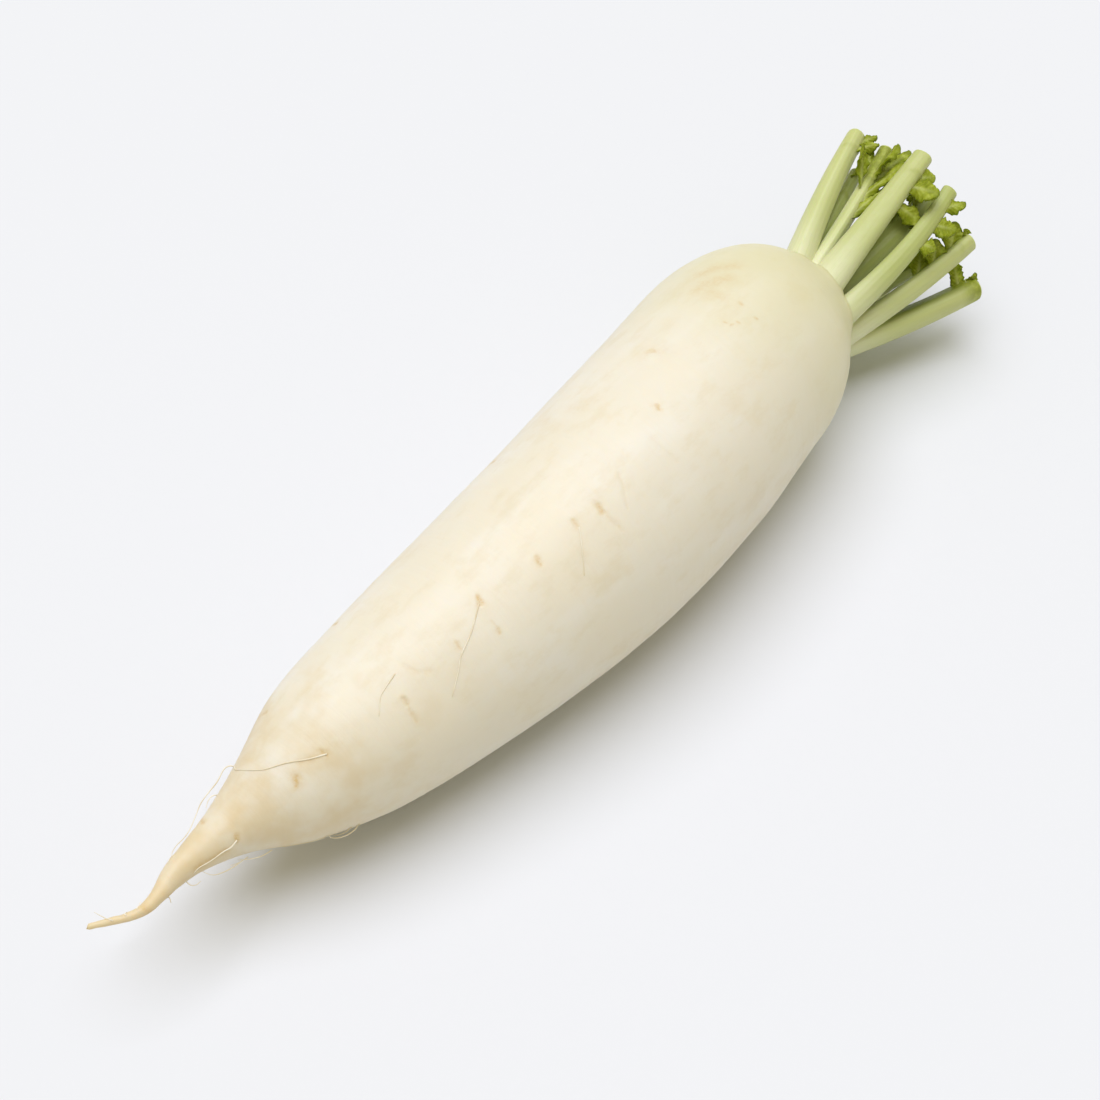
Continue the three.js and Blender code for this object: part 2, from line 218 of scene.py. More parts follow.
def root_point(distance, degrees):
    """Points of the smooth root, by distance from the tail and angle from straight down."""
    tangent = unit(root_axis(distance + 1) - root_axis(distance - 1))
    above = unit(np.array([0, 0, 1]) - tangent * tangent[:, 2:3])
    beside = np.cross(tangent, above)
    from_down = np.abs((degrees + 180) % 360 - 180)
    flat = np.radians(np.minimum(from_down, FLAT_HALF_ANGLE))
    reach = np.where(from_down < FLAT_HALF_ANGLE,
                     math.cos(math.radians(FLAT_HALF_ANGLE)) / np.cos(flat), 1)
    radius = root_radius(distance) * reach
    turn = np.radians(degrees)
    point = root_axis(distance) + dome_drop(distance)
    point = point - above * (radius * np.cos(turn))[:, None]
    point = point - beside * (radius * np.sin(turn))[:, None]
    point[:, 2] = np.maximum(point[:, 2], 0)
    return point


# A rougher copy of the root, to find where a sight line meets it, and points a millimetre apart on
# its axis, to a little short of the crown's end
PROBE_RINGS = 200
PROBE_SIDES = 96
AXIS_STOP = ROOT_END - 4


def root_probe():
    along = np.linspace(0, 1, PROBE_RINGS)
    distances = ROOT_END * np.sin(along * math.pi / 2)
    degrees = np.arange(PROBE_SIDES) * 360 / PROBE_SIDES
    grid_distance, grid_degrees = np.meshgrid(distances, degrees, indexing="ij")
    points = root_point(grid_distance.ravel(), grid_degrees.ravel())
    faces = ring_faces(0, PROBE_RINGS, PROBE_SIDES)
    return BVHTree.FromPolygons([Vector(p) for p in points], faces)


PROBE = root_probe()
AXIS_SAMPLES = root_axis(np.arange(0, AXIS_STOP, 1.0))


def beside_root(pixel):
    """The point on a pixel's sight line that is as far off as the root's axis next to it."""
    ray = pixel_ray(pixel)
    away = AXIS_SAMPLES - CAMERA_PLACE
    depth = away @ -CAMERA_BACK
    miss = np.linalg.norm(away / depth[:, None] - ray / (ray @ -CAMERA_BACK), axis=1)
    return CAMERA_PLACE + ray * depth[np.argmin(miss)] / (ray @ -CAMERA_BACK)


def on_root(pixel):
    """Where a pixel's sight line meets the root, or the point beside the root if it misses."""
    hit = PROBE.ray_cast(Vector(CAMERA_PLACE), Vector(pixel_ray(pixel)))[0]
    return beside_root(pixel) if hit is None else np.array(hit)


# Marks on the skin, by the photo's pixels: points along each, half width in millimetres, depth of
# its dent, and how brown it is
SCARS = [
    ([(658, 405), (659, 408)], 1.1, 0.3, 0.75),
    ([(537, 558), (540, 564)], 1.1, 0.35, 0.75),
    ([(478, 597), (481, 604)], 1.2, 0.45, 1.0),
    ([(498, 629), (500, 633)], 0.8, 0.25, 0.55),
    ([(457, 643), (460, 649)], 0.9, 0.25, 0.55),
    ([(492, 621), (497, 627)], 0.6, 0.12, 0.3),
    ([(594, 501), (603, 511), (611, 520), (622, 530)], 0.9, 0.3, 0.22),
    ([(598, 506), (602, 511)], 1.2, 0.35, 0.75),
    ([(619, 475), (623, 484), (627, 508)], 0.8, 0.25, 0.16),
    ([(573, 520), (577, 526)], 1.1, 0.3, 0.5),
    ([(580, 528), (583, 562)], 0.7, 0.12, 0.12),
    ([(405, 699), (410, 711), (416, 721)], 0.9, 0.35, 0.35),
    ([(404, 699), (407, 704)], 1.0, 0.3, 0.5),
    ([(296, 777), (297, 784)], 1.5, 0.35, 0.95),
    ([(236, 836), (237, 840)], 1.0, 0.3, 0.95),
    ([(201, 820), (203, 823)], 0.8, 0.25, 0.85),
    ([(322, 752), (327, 755)], 1.3, 0.3, 0.7),
    ([(300, 763), (318, 757)], 1.4, 0.15, 0.4),
    ([(652, 438), (664, 449), (677, 460)], 1.0, 0.2, 0.08),
    ([(403, 665), (417, 672), (430, 671)], 1.1, 0.15, 0.22),
    ([(724, 322), (727, 323)], 0.5, 0.1, 0.6),
    ([(731, 325), (733, 324)], 0.5, 0.1, 0.7),
    ([(738, 322), (740, 323)], 0.5, 0.1, 0.6),
    ([(755, 318), (757, 319)], 0.5, 0.1, 0.7),
    ([(740, 303), (742, 305)], 0.5, 0.1, 0.6),
    ([(698, 290), (706, 284), (728, 279)], 3.2, 0.05, 0.4),
    ([(700, 275), (716, 268), (734, 266)], 2.8, 0.05, 0.4),
    ([(710, 292), (722, 298)], 3.0, 0.05, 0.3),
    ([(648, 352), (655, 351)], 1.2, 0.1, 0.5),
    ([(658, 352), (664, 350)], 2.4, 0.05, 0.2),
    ([(543, 421), (556, 428)], 3.2, 0.05, 0.16),
    ([(571, 407), (582, 409)], 3.0, 0.05, 0.16),
    ([(400, 520), (412, 530)], 3.4, 0.05, 0.14),
    ([(195, 868), (212, 858), (226, 850)], 1.0, 0.12, 0.6),
    ([(143, 908), (152, 912)], 0.9, 0.15, 0.8),
]

# The same kinds of mark where the photo doesn't show the skin: how many, and the least and most of
# their distance from the tail, angle round the root, length, slant, half width, depth and brown.
# They stay behind a plane just in front of the axis, as the camera sees it.
HIDDEN_SCARS = 34
HIDDEN_DISTANCE = (52, 296)
HIDDEN_DEGREES = (18, 342)
HIDDEN_LENGTH = (1.5, 6)
HIDDEN_SLANT = (-1.5, 1.5)
HIDDEN_WIDTH = (0.7, 1.3)
HIDDEN_DEPTH = (0.1, 0.35)
HIDDEN_BROWN = (0.3, 0.9)
HIDDEN_BEHIND = 4
HIDDEN_SEED = 5


def hidden_scars():
    draw = random.Random(HIDDEN_SEED)
    marks = []
    while len(marks) < HIDDEN_SCARS:
        distance = draw.uniform(*HIDDEN_DISTANCE)
        degrees = draw.uniform(*HIDDEN_DEGREES)
        length = draw.uniform(*HIDDEN_LENGTH)
        swing = math.degrees(length / root_radius(np.array([distance]))[0])
        slant = draw.uniform(*HIDDEN_SLANT)
        ends = root_point(np.array([distance, distance + slant]),
                          np.array([degrees - swing / 2, degrees + swing / 2]))
        width = draw.uniform(*HIDDEN_WIDTH)
        depth = draw.uniform(*HIDDEN_DEPTH)
        brown = draw.uniform(*HIDDEN_BROWN)
        towards_camera = (ends[0] - AXIS_SAMPLES[int(distance)]) @ CAMERA_BACK
        if towards_camera < HIDDEN_BEHIND:
            marks.append((ends, width, depth, brown))
    return marks


def scar_lines():
    seen = [(np.array([on_root(p) for p in pixels]), *marks) for pixels, *marks in SCARS]
    return seen + hidden_scars()


def distance_to_line(points, line):
    nearest = np.full(len(points), np.inf)
    for start, end in zip(line[:-1], line[1:]):
        way = end - start
        share = np.clip((points - start) @ way / (way @ way), 0, 1)
        nearest = np.minimum(nearest, np.linalg.norm(points - start - share[:, None] * way, axis=1))
    return nearest


# The stalks' smooth form
CROWN_NEAR = unit(np.cross(CROWN_AXIS, [0, 0, 1]))
CROWN_TOP = np.cross(CROWN_NEAR, CROWN_AXIS)
CROWN_CENTRE = root_axis(CROWN_FROM_TAIL) + dome_drop(CROWN_FROM_TAIL)


def round_crown(degrees):
    turn = math.radians(degrees)
    return CROWN_TOP * math.cos(turn) + CROWN_NEAR * math.sin(turn)


def stalk_frame(stalk, share):
    """A stalk's middle and its ways along, outwards and sideways, at a share of its length."""
    outwards = round_crown(stalk.place)
    lean = math.radians(stalk.lean)
    foot = CROWN_CENTRE - STALK_SINK * CROWN_AXIS + stalk.ring * outwards
    way = CROWN_AXIS * math.cos(lean) + round_crown(stalk.toward) * math.sin(lean)
    tip = foot + stalk.length * way
    middle = (foot + tip) / 2 + stalk.bow * outwards
    centre = foot * (1 - share) ** 2 + middle * 2 * share * (1 - share) + tip * share ** 2
    along = unit((middle - foot) * (1 - share) + (tip - middle) * share)
    outer = unit(outwards - along * (outwards @ along))
    return centre, along, outer, np.cross(along, outer)


def stalk_half_width(stalk, share):
    return stalk.foot + (stalk.cut - stalk.foot) * share ** STALK_TAPER


def make_mesh(name, points, faces, attributes):
    """A smooth-shaded object from points in millimetres, with a value or vector at each point."""
    mesh = bpy.data.meshes.new(name)
    mesh.from_pydata((np.asarray(points) * MM).tolist(), [], faces)
    for key, values in attributes.items():
        values = np.asarray(values, np.float32)
        kind, field = ("FLOAT", "value") if values.ndim == 1 else ("FLOAT_VECTOR", "vector")
        mesh.attributes.new(key, kind, "POINT").data.foreach_set(field, values.ravel())
    mesh.validate()
    mesh.shade_smooth()
    piece = bpy.data.objects.new(name, mesh)
    bpy.context.scene.collection.objects.link(piece)
    return piece


NOISE_SHIFT = (17.3, 5.1, 9.7)


def soft_noise(points, scale, seed):
    """Smooth noise between about -1 and 1 at points in millimetres, with features of that scale."""
    shift = Vector([seed * step for step in NOISE_SHIFT])
    return np.array([noise.noise(Vector(p) / scale + shift) for p in points])


# The fine root. Its cells are quads, and each cell near a narrow scar is cut into smaller ones.
RING_STEP = 0.55
RING_STEP_PER_RADIUS = 0.016
LAST_STEP = 1.2
DOME_RINGS = 58
DOME_SLOPE_END = 0.999
ROOT_SIDES = 176
SCAR_CUTS = 3
CUT_REACH = 1.4
SCAR_MARGIN = 1.0
WIDE_SCAR = 2.0
SCAR_NEAR = 30

# A scar: how far it reaches in half widths, its uneven edge, the strength and sharpness of its
# colour in the middle and round it, and its dent and the lip round the dent
SCAR_REACH = 2.4
SCAR_SCALE = 0.9
SCAR_UNEVENNESS = 0.6
SCAR_EDGE_SCALE, SCAR_EDGE_SEED = 2.0, 7
SCAR_CORE, SCAR_CORE_SHARPNESS = 0.55, 1.3
SCAR_HALO, SCAR_HALO_WIDTH = 0.3, 1.5
DENT, DENT_WIDTH = 0.4, 0.8
DENT_LIP, DENT_LIP_PLACE = 0.1, 1.6
FULL_DENT_RADIUS = 6

# The skin's lumps, by scale, height and seed, its fine rings, the knots of the tail and the collar
# round each stalk's foot
LUMPS = [(46.0, 0.32, 1), (17.0, 0.13, 2), (6.5, 0.035, 3)]
FULL_LUMP_RADIUS = 12
WRINKLE_DEPTH, WRINKLE_SCALE, WRINKLE_SEED = 0.05, 1.9, 4
WRINKLE_STRETCH = np.array([1.0, 0.12, 0.12])
TAIL_KNOT, TAIL_KNOT_PLACE, TAIL_KNOT_WIDTH = 0.35, 26, 4
TAIL_LUMP, TAIL_LUMP_SCALE, TAIL_LUMP_SEED, TAIL_LUMPS_END = 0.22, 3.0, 6, 60
TIP_BROWN = 0.8
COLLAR_HEIGHT = 1.3
COLLAR_REACH = 1.9
COLLAR_TINT_REACH = 2.2
CROWN_PART = 22
FOOT_SHARES = np.linspace(0, 0.2, 9)
FOOT_WIDTH = 0.95


def root_ring_distances():
    distances = [0.0]
    while distances[-1] < DOME_START - LAST_STEP:
        radius = float(root_radius(np.array([distances[-1]]))[0])
        distances.append(distances[-1] + RING_STEP + RING_STEP_PER_RADIUS * radius)
    turns = np.arange(DOME_RINGS) / DOME_RINGS * math.pi / 2
    distances.extend(DOME_START + DOME_LENGTH * np.sin(turns))
    return np.array(distances)


def root_cells(distances, lines):
    """The lattice of the root's places (ring, side), counted in cells, and its faces."""
    rings = len(distances)
    middles = (distances[:-1] + distances[1:]) / 2
    degrees = (np.arange(ROOT_SIDES) + 0.5) * 360 / ROOT_SIDES
    grid_distance, grid_degrees = np.meshgrid(middles, degrees, indexing="ij")
    centres = root_point(grid_distance.ravel(), grid_degrees.ravel())
    fine = np.zeros(len(centres), bool)
    for line, width, *_ in lines:
        if width < WIDE_SCAR:
            near = np.linalg.norm(centres - line.mean(0), axis=1) < SCAR_NEAR
            fine[near] |= distance_to_line(centres[near], line) < CUT_REACH * width + SCAR_MARGIN
    fine = fine.reshape(rings - 1, ROOT_SIDES)
    cuts = SCAR_CUTS
    places, faces = {}, []

    def at(ring, side):
        key = (ring, side % (ROOT_SIDES * cuts))
        return places.setdefault(key, len(places))

    def edge(start, end, split):
        steps = cuts if split else 1
        return [at(start[0] + (end[0] - start[0]) * k // steps,
                   start[1] + (end[1] - start[1]) * k // steps) for k in range(steps)]

    for ring in range(rings - 1):
        for side in range(ROOT_SIDES):
            low, high = ring * cuts, (ring + 1) * cuts
            left, right = side * cuts, (side + 1) * cuts
            if fine[ring, side]:
                for i in range(low, high):
                    for j in range(left, right):
                        faces.append((at(i, j), at(i, j + 1), at(i + 1, j + 1), at(i + 1, j)))
                continue
            before = ring > 0 and fine[ring - 1, side]
            after = ring < rings - 2 and fine[ring + 1, side]
            faces.append(tuple(
                edge((low, left), (low, right), before)
                + edge((low, right), (high, right), fine[ring, (side + 1) % ROOT_SIDES])
                + edge((high, right), (high, left), after)
                + edge((high, left), (low, left), fine[ring, side - 1])))
    tip, pole = len(places), len(places) + 1
    last = (rings - 1) * cuts
    for side in range(ROOT_SIDES):
        left, right = side * cuts, (side + 1) * cuts
        faces.append((tip, at(0, right), at(0, left)))
        faces.append((pole, at(last, left), at(last, right)))
    return np.array(list(places), float) / cuts, faces


def stalk_closeness(points):
    """How close points are to the side of the nearest stalk at its foot, in millimetres."""
    closest = np.full(len(points), np.inf)
    for stalk in STALKS:
        for share in FOOT_SHARES:
            centre = stalk_frame(stalk, share)[0]
            half = stalk_half_width(stalk, share) * FOOT_WIDTH
            closest = np.minimum(closest, np.linalg.norm(points - centre, axis=1) - half)
    return np.maximum(closest, 0)


def build_root():
    lines = scar_lines()
    distances = root_ring_distances()
    places, faces = root_cells(distances, lines)
    distance = np.interp(places[:, 0], np.arange(len(distances)), distances)
    degrees = places[:, 1] * 360 / ROOT_SIDES
    points = root_point(distance, degrees)
    outward = points - (root_axis(distance) + dome_drop(distance))
    dome_turn = np.minimum(dome_share(distance), DOME_SLOPE_END)
    slope = dome_turn / np.sqrt(1 - dome_turn ** 2)
    outward = unit(unit(outward) + np.array([1.0, 0, 0]) * slope[:, None])
    size = np.minimum(1, root_radius(distance) / FULL_LUMP_RADIUS)

    scar = np.zeros(len(points))
    dent = np.zeros(len(points))
    for line, width, depth, brown in lines:
        near = np.flatnonzero(np.linalg.norm(points - line.mean(0), axis=1) < SCAR_NEAR)
        near = near[distance_to_line(points[near], line) < SCAR_REACH * width + SCAR_MARGIN]
        uneven = 1 + SCAR_UNEVENNESS * soft_noise(points[near], SCAR_EDGE_SCALE, SCAR_EDGE_SEED)
        away = distance_to_line(points[near], line) / (SCAR_SCALE * width * uneven)
        tint = (SCAR_CORE * np.exp(-(away * SCAR_CORE_SHARPNESS) ** 2)
                + SCAR_HALO * np.exp(-(away / SCAR_HALO_WIDTH) ** 2))
        scar[near] = np.maximum(scar[near], brown * tint)
        dent[near] += depth * (DENT * np.exp(-(away / DENT_WIDTH) ** 2)
                               - DENT_LIP * np.exp(-(away - DENT_LIP_PLACE) ** 2))
    lift = -dent * np.minimum(1, root_radius(distance) / FULL_DENT_RADIUS)
    for scale, height, seed in LUMPS:
        lift += height * size * soft_noise(points, scale, seed)
    lift += WRINKLE_DEPTH * size * soft_noise(points * WRINKLE_STRETCH, WRINKLE_SCALE, WRINKLE_SEED)
    closeness = np.full(len(points), np.inf)
    crown = points[:, 0] > CROWN_CENTRE[0] - CROWN_PART
    closeness[crown] = stalk_closeness(points[crown])
    lift += COLLAR_HEIGHT * np.exp(-closeness / COLLAR_REACH)
    knots = np.exp(-((distance - TAIL_KNOT_PLACE) / TAIL_KNOT_WIDTH) ** 2) * TAIL_KNOT
    knots += (TAIL_LUMP * np.clip(1 - distance / TAIL_LUMPS_END, 0, 1)
              * soft_noise(points, TAIL_LUMP_SCALE, TAIL_LUMP_SEED))
    points = points + outward * (lift + knots)[:, None]
    points[:, 2] = np.maximum(points[:, 2], 0)

    tip = root_axis(0) - CROWN_AXIS
    pole = root_axis(ROOT_END) + DOME_DROP
    points = np.vstack([points, tip, pole])
    scar = np.append(scar, [TIP_BROWN, 0])
    distance = np.append(distance, [0, ROOT_END])
    closeness = np.append(closeness, [np.inf, 0])
    return make_mesh("taproot_skin", points, faces, {
        "scar": scar,
        "from_tail": distance / ROOT_END,
        "at_foot": np.exp(-closeness / COLLAR_TINT_REACH),
    })


# A thin closed tube along a path in millimetres, its sides turned from a way that no path takes
TUBE_SIDES = 6
TUBE_STEP = 0.9
TUBE_GUIDE = np.array([0.31, 0.47, 0.83])


def smooth_path(corners):
    """Points about TUBE_STEP apart on a smooth curve through the corners."""
    corners = np.array(corners, float)
    padded = np.vstack([2 * corners[0] - corners[1], corners, 2 * corners[-1] - corners[-2]])
    path = []
    for a, b, c, d in zip(padded[:-3], padded[1:-2], padded[2:-1], padded[3:]):
        steps = max(2, math.ceil(np.linalg.norm(c - b) / TUBE_STEP))
        for t in np.arange(steps) / steps:
            path.append(0.5 * (2 * b + (c - a) * t + (2 * a - 5 * b + 4 * c - d) * t ** 2
                               + (3 * b - a - 3 * c + d) * t ** 3))
    path.append(corners[-1])
    return np.array(path)


def add_tube(points, faces, path, radii):
    along = unit(np.gradient(path, axis=0))
    across = unit(np.cross(along, TUBE_GUIDE))
    other = np.cross(along, across)
    start = len(points)
    for centre, u, v, radius in zip(path, across, other, radii):
        for k in range(TUBE_SIDES):
            turn = 2 * math.pi * k / TUBE_SIDES
            points.append(centre + radius * (u * math.cos(turn) + v * math.sin(turn)))
    faces.extend(tube_faces(start, len(path), TUBE_SIDES))


# Rootlets that the photo shows, by its pixels, with the radius at the start in millimetres
ROOTLETS = [
    ([(479, 604), (471, 633), (461, 656), (458, 673), (452, 697)], 0.22),
    ([(579, 527), (582, 550), (584, 576)], 0.16),
    ([(395, 674), (384, 690), (380, 699), (379, 716)], 0.2),
    ([(327, 754), (309, 759), (286, 763), (261, 770), (236, 771)], 0.24),
    ([(236, 770), (233, 766), (225, 768), (217, 782), (209, 792), (201, 803), (196, 815),
      (190, 829), (184, 838), (176, 846), (171, 855), (169, 864)], 0.2),
    ([(217, 795), (212, 796), (208, 801), (206, 808)], 0.18),
    ([(237, 840), (231, 847), (224, 851), (213, 859), (205, 864), (198, 868), (193, 873)], 0.22),
    ([(360, 824), (352, 832), (342, 837), (333, 838), (326, 836)], 0.24),
    ([(352, 827), (344, 833), (334, 836)], 0.16),
    ([(325, 838), (310, 843), (296, 846), (283, 848)], 0.2),
    ([(272, 850), (262, 856), (250, 859), (238, 860)], 0.2),
    ([(243, 860), (235, 866), (224, 872), (213, 875), (203, 872)], 0.2),
    ([(248, 857), (240, 862), (230, 866)], 0.16),
    ([(186, 881), (190, 885), (196, 885), (201, 881)], 0.16),
    ([(168, 896), (170, 899), (171, 903)], 0.22),
    ([(113, 921), (108, 919), (101, 916), (94, 912)], 0.18),
    ([(126, 916), (125, 914), (127, 912)], 0.22),
    ([(137, 909), (138, 905), (141, 902)], 0.16),
]

# How a rootlet thins to its end, and in radii, how near the skin it is laid down and how high it
# then lies
ROOTLET_THINNING, ROOTLET_THINNING_POWER = 0.6, 1.5
SETTLE_REACH, SETTLE_HEIGHT = 2.5, 0.4

# Rootlets that the photo doesn't show: how many, the share of them near the tail, and the least and
# most of their radius, angle round the root, way along and across it, bend and change of lift, then
# of their distance from the tail, length and lift, near the tail and further up. They start on skin
# that is turned from the camera.
HIDDEN_ROOTLETS = 46
NEAR_TAIL_SHARE = 0.75
ROOTLET_RADIUS = (0.12, 0.22)
ROOTLET_DEGREES = (20, 340)
ROOTLET_ALONG = (-1, 0.2)
ROOTLET_ACROSS = (-1, 1)
ROOTLET_BEND = (-0.45, 0.45)
ROOTLET_LIFTING = (-0.7, 0.6)
NEAR_TAIL = ((18, 92), (5, 16), (0, 0.25))
FURTHER_UP = ((95, 240), (10, 24), None)
ROOTLET_PARTS = 5
TURNED_AWAY = -0.45
ROOTLET_SEED = 21


def settle_on_skin(path, radius, skin):
    """Moves points that are inside the fine root, or just above it, to lie on its skin."""
    settled = []
    for point in path:
        nearest, normal = skin.find_nearest(Vector(point))[:2]
        above = (Vector(point) - nearest).dot(normal)
        if above < radius * SETTLE_REACH:
            point = np.array(nearest + normal * radius * SETTLE_HEIGHT)
        settled.append(point)
    return np.array(settled)


def hidden_rootlet(draw):
    """A rootlet that wanders from the skin in a loose curve, or None where the camera sees it."""
    place, reach, rise = NEAR_TAIL if draw.random() < NEAR_TAIL_SHARE else FURTHER_UP
    distance = draw.uniform(*place)
    degrees = draw.uniform(*ROOTLET_DEGREES)
    length = draw.uniform(*reach)
    start = root_point(np.array([distance]), np.array([degrees]))[0]
    centre = root_axis(np.array([distance]))[0]
    if (start - centre) @ CAMERA_BACK > TURNED_AWAY * np.linalg.norm(start - centre):
        return None
    out = unit(start - centre)
    along = np.array([draw.uniform(*ROOTLET_ALONG), 0, 0])
    heading = unit(along + np.cross(out, [1, 0, 0]) * draw.uniform(*ROOTLET_ACROSS))
    lift = draw.uniform(*rise) if rise else 0
    corners = [start]
    for _ in range(ROOTLET_PARTS):
        bend = np.cross(heading, out) * draw.uniform(*ROOTLET_BEND)
        heading = unit(heading + bend + out * lift * draw.uniform(*ROOTLET_LIFTING))
        corners.append(corners[-1] + heading * length / ROOTLET_PARTS)
    hidden = [PROBE.ray_cast(Vector(corner), Vector(CAMERA_BACK))[0] for corner in corners[1:]]
    return None if None in hidden else corners


def build_rootlets(root):
    skin = BVHTree.FromPolygons([vertex.co / MM for vertex in root.data.vertices],
                                [tuple(face.vertices) for face in root.data.polygons])
    points, faces = [], []
    drawn = [([on_root(p) for p in pixels], radius) for pixels, radius in ROOTLETS]
    draw = random.Random(ROOTLET_SEED)
    while len(drawn) < len(ROOTLETS) + HIDDEN_ROOTLETS:
        corners = hidden_rootlet(draw)
        if corners:
            drawn.append((corners, draw.uniform(*ROOTLET_RADIUS)))
    for corners, radius in drawn:
        path = settle_on_skin(smooth_path(corners), radius, skin)
        path[:, 2] = np.maximum(path[:, 2], radius)
        share = np.linspace(0, 1, len(path))
        radii = radius * (1 - ROOTLET_THINNING * share ** ROOTLET_THINNING_POWER)
        add_tube(points, faces, path, radii)
    return make_mesh("rootlets", points, faces, {})


# The fine stalks: an edge and faint ribs on the back, a shallow channel in front in a wider olive
# band, partly the stalk's own darker green there and partly painted shade for that less lit side,
# a slanting scar on some where a leaf grew, and a cut end with a rounded rim round a hollow
STALK_SIDES = 72
STALK_ROWS = 64
RIBS, RIB_HEIGHT, RIB_GROWTH = 13, 0.03, 6
EDGE_DEGREES = 26
KEEL, KEEL_SIDES = 0.045, 3
EDGE, EDGE_WIDTH = 0.03, 0.2
CHANNEL, CHANNEL_WIDTH = 0.12, 0.55
BAND_WIDTH = 1.05
LEAF_SCARS = {1: 0.87, 3: 0.86, 5: 0.91, 6: 0.92, 10: 0.75}
LEAF_SCAR_WIDTH = 0.8
LEAF_SCAR_RIDGE = 0.32
LEAF_SCAR_SLANT = 1.3
LEAF_SCAR_LEAST = 0.4
LEAFY_TIP_GREEN, LEAFY_TIP_FADE = 0.8, 0.12
CUT_RIM = 1.0
CUT_RISE = 0.75
CUT_HOLLOW = 0.4
CUT_ROWS = 10
CUT_RIM_ROWS = 5
CUT_MIDDLE = 0.98
CUT_TINT_START, CUT_TINT_ROWS = 2, 3


def leaf_scar(stalk, number, share, turn):
    """How strongly the scar of a leaf marks a stalk, at each turn round it."""
    if number not in LEAF_SCARS:
        return np.zeros(len(turn))
    _, which_side, _, _, _, fold = stalk.lobes[0]
    fold = math.radians(fold)
    towards = np.cos(turn - math.atan2(which_side * math.cos(fold), -math.sin(fold)))
    away = (share - LEAF_SCARS[number]) * stalk.length - LEAF_SCAR_SLANT * towards
    strength = np.clip(LEAF_SCAR_LEAST + (1 - LEAF_SCAR_LEAST) * towards, 0, 1)
    return np.exp(-(away / LEAF_SCAR_WIDTH) ** 2) * strength


def stalk_row(stalk, number, share, scale, rise):
    """One ring of a stalk: its points, its fibre coordinates, its band and its leaf scar."""
    centre, along, outer, side = stalk_frame(stalk, share)
    turn = np.arange(STALK_SIDES) * 2 * math.pi / STALK_SIDES
    half = stalk_half_width(stalk, share)
    depth = np.where(np.cos(turn) < 0, FRONT_DEPTH, 1.0)
    channel = np.exp(-((turn - math.pi) / CHANNEL_WIDTH) ** 2)
    from_edge = np.angle(np.exp(1j * (turn - math.radians(EDGE_DEGREES))))
    shape = (1 + KEEL * np.cos(KEEL_SIDES * from_edge)
             + EDGE * np.exp(-(from_edge / EDGE_WIDTH) ** 2) - CHANNEL * channel)
    ribs = RIB_HEIGHT * np.cos(RIBS * turn + number) * min(1, share * RIB_GROWTH)
    scar = leaf_scar(stalk, number, share, turn)
    reach = (half * shape + ribs + LEAF_SCAR_RIDGE * scar) * scale
    point = (centre + along * rise + outer * (reach * depth * np.cos(turn))[:, None]
             + side * (reach * np.sin(turn))[:, None])
    fibre = np.stack([reach * np.cos(turn), reach * np.sin(turn),
                      np.full(STALK_SIDES, share * stalk.length)], axis=1)
    # The band on the channel side: partly the stalk's darker green, partly painted shade
    band = np.exp(-((turn - math.pi) / BAND_WIDTH) ** 4)
    return point, fibre, band, scar


class Shape:
    """Points, faces and the values at the points of one stalk with its lobes."""

    def __init__(self):
        self.points, self.faces = [], []
        keys = ("fibre", "up", "leaf", "rim", "cut", "ring", "channel", "dull")
        self.values = {key: [] for key in keys}

    def add(self, points, **values):
        start = sum(len(p) for p in self.points)
        self.points.append(points)
        for key, known in self.values.items():
            value = values.get(key, 0.0)
            if key == "fibre":
                known.append(value)
            else:
                known.append(np.broadcast_to(value, len(points)))
        return start

    def object(self, name):
        return make_mesh(name, np.vstack(self.points), self.faces,
                         {key: np.concatenate(known) for key, known in self.values.items()})


def add_stalk(shape, stalk, number):
    rows = []
    dull = DULLNESS_AND_SHADE[number - 1]
    for row in range(STALK_ROWS + 1):
        share = row / STALK_ROWS
        points, fibre, band, scar = stalk_row(stalk, number, share, 1.0, 0.0)
        past = (share - LEAFY_TIPS.get(number, 1)) / LEAFY_TIP_FADE
        leafy = LEAFY_TIP_GREEN * np.clip(past, 0, 1)
        rows.append(shape.add(points, fibre=fibre, up=share, leaf=leafy, ring=scar, channel=band,
                              dull=dull))
    half = stalk_half_width(stalk, 1.0)
    for row in range(1, CUT_ROWS + 1):
        bend = min(1.0, row / CUT_RIM_ROWS) * math.pi / 2
        inwards = max(0.0, (row - CUT_RIM_ROWS) / (CUT_ROWS - CUT_RIM_ROWS))
        scale = (1 - CUT_RIM * (1 - math.cos(bend)) / half) * (1 - CUT_MIDDLE * inwards)
        rise = CUT_RISE * math.sin(bend) - CUT_HOLLOW * inwards
        points, fibre, band, _ = stalk_row(stalk, number, 1.0, scale, rise)
        on_cut = min(1.0, max(0.0, row - CUT_TINT_START) / CUT_TINT_ROWS)
        rows.append(shape.add(points, fibre=fibre, up=1.0, cut=on_cut, channel=band, dull=dull))
    shape.faces.extend(tube_faces(rows[0], len(rows), STALK_SIDES))


